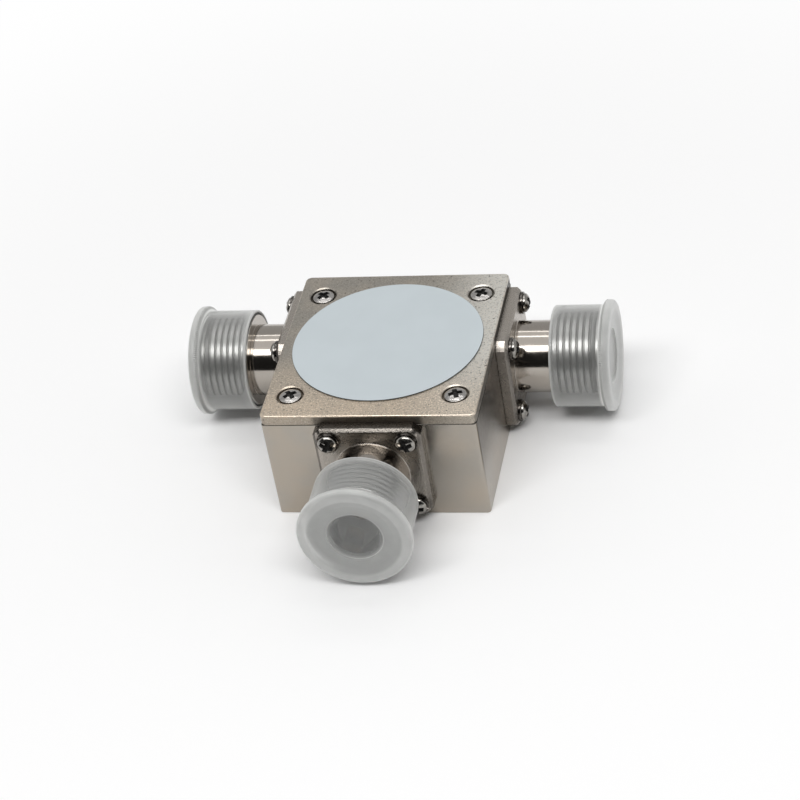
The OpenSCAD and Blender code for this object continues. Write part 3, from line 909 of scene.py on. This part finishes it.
def screw_finishes(name, tint, recess_tint):
    """Finishes of a screw's outside and of the painted shade in its recess."""
    return [shared_finish(name, screw_steel, tint), shared_finish("recess_black", recess_black, recess_tint)]


class CIRCULATOR_OT_cover_screws(bpy.types.Operator):
    """Builds the four pan-head screws in the cover's counterbores"""

    bl_idname = "circulator.cover_screws"
    bl_label = "Cover screws"

    def execute(self, context):
        part = context.scene.circulator
        block, screw, tints = part.block, part.screw, part.finish
        shell = Shell()
        seat = Matrix.Translation((0, 0, block.cover_top - block.counterbore_depth))
        for place in cover_places(block, COVER_TURNS):
            shell.place = seat @ place
            add_screw(shell, screw, screw.cover_head, screw.cover_head_h, screw.cover_edge, screw.cover_l)
        # The cover screws take the paler, painted-light copy of the screw steel
        finishes = screw_finishes("pale_steel", tints.cover_screw, tints.recess)
        dress(shell.piece("cover_screw_set", finishes), "circulator", "screw_steel", "cover_screws")
        return {"FINISHED"}


class CIRCULATOR_OT_flange_screws(bpy.types.Operator):
    """Builds the pan-head screws that hold each socket's flange"""

    bl_idname = "circulator.flange_screws"
    bl_label = "Flange screws"

    def execute(self, context):
        part = context.scene.circulator
        finishes = screw_finishes("screw_steel", part.finish.screw, part.finish.recess)
        by_side = dict.fromkeys(SIDES, finishes)
        for side, made in at_ports(part, "flange_screw_set", by_side, self.add_screws):
            dress(made, "circulator", "screw_steel", f"{side}_flange_screws")
        return {"FINISHED"}

    def add_screws(self, shell, part):
        screw = part.screw
        seat = Matrix.Translation((0, 0, part.port.flange_t + screw.washer_t))
        for place in flange_places(part.port, FLANGE_TURNS):
            shell.place = seat @ place
            add_screw(
                shell, screw, screw.flange_head, screw.flange_head_h, screw.flange_edge, screw.flange_l
            )


class CIRCULATOR_OT_washers(bpy.types.Operator):
    """Builds the split washers under the flange screws"""

    bl_idname = "circulator.washers"
    bl_label = "Split washers"

    def execute(self, context):
        part = context.scene.circulator
        finish = shared_finish("washer_steel", screw_steel, part.finish.washer)
        by_side = dict.fromkeys(SIDES, [finish])
        for side, made in at_ports(part, "washer_set", by_side, self.add_washers):
            dress(made, "circulator", "screw_steel", f"{side}_lock_washers")
        return {"FINISHED"}

    def add_washers(self, shell, part):
        seat = Matrix.Translation((0, 0, part.port.flange_t))
        for place in flange_places(part.port, FLANGE_TURNS):
            shell.place = seat @ place
            self.add_washer(shell, part.screw)

    def add_washer(self, shell, screw):
        soft = screw.washer_t * 0.14
        inner, outer, high = screw.washer_bore, screw.washer, screw.washer_t
        section = [
            (inner + soft, 0), (outer - soft, 0), (outer, soft), (outer, high - soft),
            (outer - soft, high), (inner + soft, high), (inner, high - soft), (inner, soft),
        ]
        steps, slant = 48, radians(35)
        half = screw.split / 2 / cos(slant)
        stations = []
        for i in range(steps + 1):
            ring = []
            for r, z in section:
                lean = -(z - high / 2) * tan(slant)
                a = (lean + half) / r + (2 * pi - 2 * half / r) * i / steps
                ring.append((r * cos(a), r * sin(a), z))
            stations.append(ring)
        first, last = shell.sleeve(stations)
        shell.fill(first)
        shell.fill(last)


class CIRCULATOR_OT_sockets(bpy.types.Operator):
    """Builds the three threaded sockets, each one piece with its flange, neck and helical thread"""

    bl_idname = "circulator.sockets"
    bl_label = "Sockets"

    def execute(self, context):
        part = context.scene.circulator
        tint, port = part.finish.bright, part.port
        # The front socket takes a share of painted shade on its flange and in its grooves; the side sockets
        # take none
        side_ports = bright_nickel("bright_nickel", tint, port, 0.0, 0.21)
        front_port = bright_nickel("front_nickel", tint, port, 0.8, 0.03)
        by_side = {"left": [side_ports], "right": [side_ports], "front": [front_port]}
        for side, made in at_ports(part, "socket_body", by_side, self.add_socket):
            dress(made, "circulator", "bright_nickel", f"{side}_connector")
        return {"FINISHED"}

    def thread_profile(self, port):
        """One turn's section as (share of the pitch, share of the depth), with softened corners."""
        flank = port.thread_depth * tan(radians(30)) / port.pitch
        crest_from = 0.5 - port.crest / 2 / port.pitch
        root_to = crest_from - flank
        foot, brow, flat = 0.03, 0.025, 0.02
        rise = [
            (root_to - foot, 0.0), (root_to + foot, foot / flank), (root_to + flank / 2, 0.5),
            (crest_from - brow, 1 - brow / flank), (crest_from + flat, 1.0),
        ]
        return [(0.0, 0.0)] + rise + [(1 - at, depth) for at, depth in reversed(rise)]

    def add_thread(self, shell, port, low, high, count):
        """Skins the helical thread between two heights, its rows along the helix; returns its end loops."""
        root = port.thread - port.thread_depth
        profile = self.thread_profile(port)
        turns = int((high - low) / port.pitch) + 2
        ends = [shell.loop(ring_points(root, z, count)) for z in (low, high)]
        steps = [(turn + at, depth) for turn in range(-1, turns) for at, depth in profile]
        run_in, run_out = port.pitch * 0.6, port.pitch * 0.4

        def corner(i, step):
            at, depth = step
            z = low + port.pitch * (at + i / count)
            if z <= low or z >= high:
                return ends[z >= high][i % count]
            r = root + port.thread_depth * depth * min(1.0, (z - low) / run_in, (high - z) / run_out)
            a = 2 * pi * i / count
            return shell.mesh.verts.new((r * cos(a), r * sin(a), z))

        columns = [[corner(i, step) for step in steps] for i in range(count)]
        turn = len(profile)
        columns.append(columns[0][turn:] + [ends[1][0]] * turn)
        for left, right in zip(columns, columns[1:]):
            for j in range(len(steps) - 1):
                corners = dict.fromkeys((left[j], right[j], right[j + 1], left[j + 1]))
                if len(corners) > 2:
                    shell.face(tuple(corners))
        return ends

    def add_socket(self, shell, part):
        port, through = part.port, part.block.through
        root, start = port.thread - port.thread_depth, port.barrel_from
        thick, bevel = port.flange_t, port.flange_bevel
        collar, mouth, chamfer = port.collar, port.mouth, port.mouth_chamfer
        count, soft, lead = 144, 0.00006, 0.0003
        foot = [(port.neck + drop, thick + inset) for inset, drop in rounding(port.neck_fillet)]
        foot += [(port.neck, start - soft), (port.neck + soft, start), (root - soft, start)]
        neck, base = shell.sleeve([ring_points(r, z, count) for r, z in foot])
        thread_from, thread_to = self.add_thread(shell, port, start + soft, port.collar_from, count)
        shell.band(base, thread_from)
        _, pilot = shell.sleeve([ring_points(r, z, count) for r, z in (
            (collar - soft, port.collar_from), (collar, port.collar_from + soft), (collar, mouth - chamfer),
            (collar - chamfer, mouth), (port.socket + lead, mouth), (port.socket, mouth - lead),
            (port.socket, port.socket_floor), (port.line, port.socket_floor), (port.line, -port.pilot_l),
            (port.pilot - soft * 2, -port.pilot_l), (port.pilot, -port.pilot_l + soft * 2), (port.pilot, 0),
        )], thread_to)
        levels = [
            (soft, 0), (0, soft), (0, thick - bevel - soft / 2), (soft * 0.4, thick - bevel + soft / 2),
            (bevel - soft * 0.4, thick - soft * 0.8), (bevel + soft * 0.8, thick),
        ]
        lean = 2 - sqrt(2)
        back, face = shell.sleeve([
            cut_corner_outline(port.flange / 2 - i, port.flange_corner - i * lean, z) for i, z in levels
        ])
        hole = [(through + soft, thick), (through, thick - soft), (through, soft), (through + soft, 0)]
        mouths, ends = shell.holes(flange_places(port), hole, 40)
        shell.fill(face, neck, *mouths)
        shell.fill(back, pilot, *ends)


class CIRCULATOR_OT_caps(bpy.types.Operator):
    """Builds the three milky push-on caps with their dished ends and finely toothed rims"""

    bl_idname = "circulator.caps"
    bl_label = "Dust caps"

    def execute(self, context):
        part = context.scene.circulator
        hazy = milky_plastic("milky_plastic", part.finish.milky, part.cap, 1.0)
        clear = milky_plastic("clear_plastic", part.finish.milky, part.cap, 0.0)
        by_side = {"left": [hazy], "right": [hazy], "front": [clear]}
        for side, made in at_ports(part, "push_cap", by_side, self.add_cap):
            dress(made, f"{side}_cap", "milky_plastic", f"{side}_dust_cap")
        return {"FINISHED"}

    def add_cap(self, shell, part):
        cap = part.cap
        teeth, steps = 160, 3
        soft, inside_soft = 0.00008, 0.0002
        wall_soft = (cap.outer - cap.inner) * 0.3
        inside = [(cap.inner * s, cap.inside_end) for s in (0.3, 0.6, 0.9)]
        inside += [(cap.inner - inside_soft, cap.inside_end), (cap.inner, cap.inside_end - inside_soft)]
        sleeve = [
            (cap.inner, cap.open_end + wall_soft), (cap.inner + wall_soft, cap.open_end),
            (cap.outer - wall_soft, cap.open_end), (cap.outer, cap.open_end + wall_soft),
            (cap.outer, (cap.open_end + cap.rim_from) / 2),
        ]
        # Steps of the hollow curve from the sleeve to the rim, out from the one and along from the other
        hollow = ((0.0, -0.00035), (0.00006, -0.0001), (0.0002, 0.0001))
        sleeve += [(cap.outer + out, cap.rim_from + on) for out, on in hollow]
        corner = cap.rim_from + (cap.rim - cap.outer) / 2
        toothed = [(cap.rim - 0.0001, corner - 0.00004), (cap.rim, corner + 0.00012)]
        rim = [(cap.rim, corner + 0.0003)]
        rim += [(cap.rim - inset, cap.end - drop) for inset, drop in rounding(cap.rim_edge, 6)]
        end = [
            (cap.dish + soft, cap.end), (cap.dish - soft * 0.7, cap.end - soft * 0.5),
            (cap.dish_floor_r + soft * 2, cap.dish_floor + soft * 0.9),
            (cap.dish_floor_r - soft, cap.dish_floor),
            (cap.recess + soft, cap.dish_floor), (cap.recess, cap.dish_floor - soft),
            (cap.recess, cap.recess_floor + soft), (cap.recess - soft, cap.recess_floor),
        ]
        end += [(cap.recess * s, cap.recess_floor) for s in (0.9, 0.6, 0.3)]

        def plain(profile):
            return [ring_points(r, z, teeth * steps) for r, z in profile]

        rings = plain(inside + sleeve)
        for (r, z), ring in zip(toothed, plain(toothed)):
            low = 1 - cap.tooth / r
            rings.append([
                (p[0] * low, p[1] * low, z) if i % steps else p for i, p in enumerate(ring)
            ])
        first, last = shell.sleeve(rings + plain(rim + end))
        shell.close(first, (0, 0, cap.inside_end))
        shell.close(last, (0, 0, cap.recess_floor))


class CIRCULATOR_OT_contacts(bpy.types.Operator):
    """Finishes the contacts and their insulators, which keep the meshes of their solids"""

    bl_idname = "circulator.contacts"
    bl_label = "Contacts"

    def execute(self, context):
        tints = context.scene.circulator.finish
        gold = plain_stock("gold_plate", tints.gold, 0.0002, 0.16, 1.0, 0.05)
        white = plain_stock("white_insulator", tints.insulator, 0.0003, 0.4, 0.0, 0.02)
        for side in SIDES:
            coat(gold, f"{side}_contact")
            coat(white, f"{side}_insulator")
        return {"FINISHED"}


class CIRCULATOR_OT_stack(bpy.types.Operator):
    """Finishes the sealed stack, which keeps the meshes of its solids"""

    bl_idname = "circulator.stack"
    bl_label = "Magnet stack"

    def execute(self, context):
        tints = context.scene.circulator.finish
        coat(plain_stock("silvered_strip", tints.silver, 0.0003, 0.2, 1.0, 0.05), "centre_conductor")
        coat(plain_stock("pad_rubber", tints.rubber, 0.0003, 0.6), "pressure_pad")
        for kind, slot, tint, grain, rough, metal in (
            ("ferrite", "ferrite", tints.ferrite, 0.00015, 0.3, 0.0),
            ("dielectric_ring", "ceramic_ring", tints.ceramic, 0.0002, 0.55, 0.0),
            ("ground_plate", "plate_steel", tints.steel, 0.00025, 0.3, 1.0),
            ("magnet", "magnet_ceramic", tints.magnet, 0.0002, 0.55, 0.0),
            ("compensator", "compensator_alloy", tints.alloy, 0.0003, 0.35, 1.0),
        ):
            coat(plain_stock(slot, tint, grain, rough, metal), *[f"{level}_{kind}" for level in LEVELS])
        return {"FINISHED"}


class CIRCULATOR_OT_stage(bpy.types.Operator):
    """Sets the floor, the lamps, the cards that the metal reflects, the world and the camera"""

    bl_idname = "circulator.stage"
    bl_label = "Stage"

    def execute(self, context):
        stage = context.scene.circulator.stage
        context.scene.view_settings.view_transform = "Standard"
        self.floor(stage)
        self.world(context.scene, stage)
        self.lamp("key_softbox", (0.05, -0.42, 0.816), (1.1, 0.27), stage.key)
        self.lamp("strip_near", (0.0, 0.22, 0.97), (1.0, 0.05), stage.strip)
        self.lamp("strip_far", (0.0, 0.53, 0.85), (1.0, 0.03), stage.strip)
        self.card("front_flag", -pi / 2, 68, 1.6, 0.02, True)
        self.card("rear_card", pi / 2, 80, 1.9, 0.55, False)
        self.camera(context.scene, stage)
        return {"FINISHED"}

    def floor(self, stage):
        shell = Shell()
        _, last = shell.sleeve([ring_points(r, 0, 64) for r in (8.0, 2.0, 0.5, 0.1)])
        shell.close(last, (0, 0, 0))
        m = material("stage_floor")
        matt = m.node("ShaderNodeBsdfDiffuse", None, {"Color": (*stage.floor, 1.0)})
        white = m.node("ShaderNodeEmission", None, {"Strength": 1.0})
        far = m.ramp(m.reach(), 0.05, 0.2) * self.seen(m)
        pale = m.finish(m.node("ShaderNodeMixShader", None, {0: far, 1: matt, 2: white}))
        shell.piece("stage_floor", [pale])

    def seen(self, recipe):
        """One for rays from the camera, from gloss and through clear pieces."""
        camera, gloss, clear = (
            recipe.node("ShaderNodeLightPath", None, None, name)
            for name in ("Is Camera Ray", "Is Glossy Ray", "Is Transmission Ray")
        )
        return (camera + gloss + clear).least(1.0)

    def world(self, scene, stage):
        scene.world = bpy.data.worlds.new("stage_world")
        w = Recipe(scene.world)
        strength = stage.ambient + (1.0 - stage.ambient) * self.seen(w)
        lit = w.node("ShaderNodeBackground", None, {"Color": (1.0, 1.0, 1.0, 1.0), "Strength": strength})
        w.finish(lit, "ShaderNodeOutputWorld")

    def lamp(self, name, place, size, radiance):
        data = bpy.data.lights.new(name, "AREA")
        data.shape = "RECTANGLE"
        data.size, data.size_y = size
        data.energy = radiance * pi * size[0] * size[1]
        made = bpy.data.objects.new(name, data)
        bpy.context.scene.collection.objects.link(made)
        turn = Vector(place).to_track_quat("Z", "Y").to_matrix().to_4x4()
        made.matrix_world = Matrix.Translation(place) @ turn

    def card(self, name, middle, spread, high, glow, blocks):
        """An upright curved card that gloss and clear pieces see, and that may keep the room's light off."""
        low, radius, steps = 0.02, 1.4, 32
        shell = Shell()
        turns = [middle + radians(spread) * (i / (steps / 2) - 1) for i in range(steps + 1)]
        rows = [shell.loop([(radius * cos(a), radius * sin(a), z) for a in turns]) for z in (low, high)]
        for i in range(steps):
            shell.face((rows[0][i], rows[0][i + 1], rows[1][i + 1], rows[1][i]))
        m = material(name)
        made = shell.piece(name, [m.finish(m.node("ShaderNodeEmission", None, {"Strength": glow}))])
        made.visible_camera = False
        made.visible_diffuse = blocks
        made.visible_shadow = blocks

    def camera(self, scene, stage):
        data = bpy.data.cameras.new("photo_camera")
        data.lens = stage.lens
        data.sensor_width = 36.0
        data.clip_start = 0.01
        made = bpy.data.objects.new("photo_camera", data)
        scene.collection.objects.link(made)
        made.location = stage.eye
        made.rotation_euler = stage.turn
        scene.camera = made


BUILDERS = (
    CIRCULATOR_OT_stage, CIRCULATOR_OT_housing, CIRCULATOR_OT_cover, CIRCULATOR_OT_label,
    CIRCULATOR_OT_cover_screws, CIRCULATOR_OT_sockets, CIRCULATOR_OT_flange_screws, CIRCULATOR_OT_washers,
    CIRCULATOR_OT_caps, CIRCULATOR_OT_contacts, CIRCULATOR_OT_stack,
)


class CIRCULATOR_PT_panel(bpy.types.Panel):
    """Sizes and colours, and the operators in building order"""

    bl_idname = "CIRCULATOR_PT_panel"
    bl_label = "Coaxial Circulator"
    bl_space_type = "VIEW_3D"
    bl_region_type = "UI"
    bl_category = "Circulator"

    def draw(self, context):
        part = context.scene.circulator
        for group in (part.block, part.port, part.cap, part.screw, part.finish, part.stage):
            box = self.layout.box()
            for name in group.__annotations__:
                box.prop(group, name)
        for builder in BUILDERS:
            self.layout.operator(builder.bl_idname)


CLASSES = (
    CIRCULATOR_PG_block, CIRCULATOR_PG_port, CIRCULATOR_PG_cap, CIRCULATOR_PG_screw, CIRCULATOR_PG_finish,
    CIRCULATOR_PG_stage, CIRCULATOR_PG_part, *BUILDERS, CIRCULATOR_PT_panel,
)


def register():
    for cls in CLASSES:
        bpy.utils.register_class(cls)
    bpy.types.Scene.circulator = PointerProperty(type=CIRCULATOR_PG_part)


def unregister():
    del bpy.types.Scene.circulator
    for cls in reversed(CLASSES):
        bpy.utils.unregister_class(cls)


def main():
    register()
    bpy.ops.circulator.stage()
    bpy.ops.circulator.housing()
    bpy.ops.circulator.cover()
    bpy.ops.circulator.label()
    bpy.ops.circulator.cover_screws()
    bpy.ops.circulator.sockets()
    bpy.ops.circulator.flange_screws()
    bpy.ops.circulator.washers()
    bpy.ops.circulator.caps()
    bpy.ops.circulator.contacts()
    bpy.ops.circulator.stack()


if __name__ == "__main__":
    main()
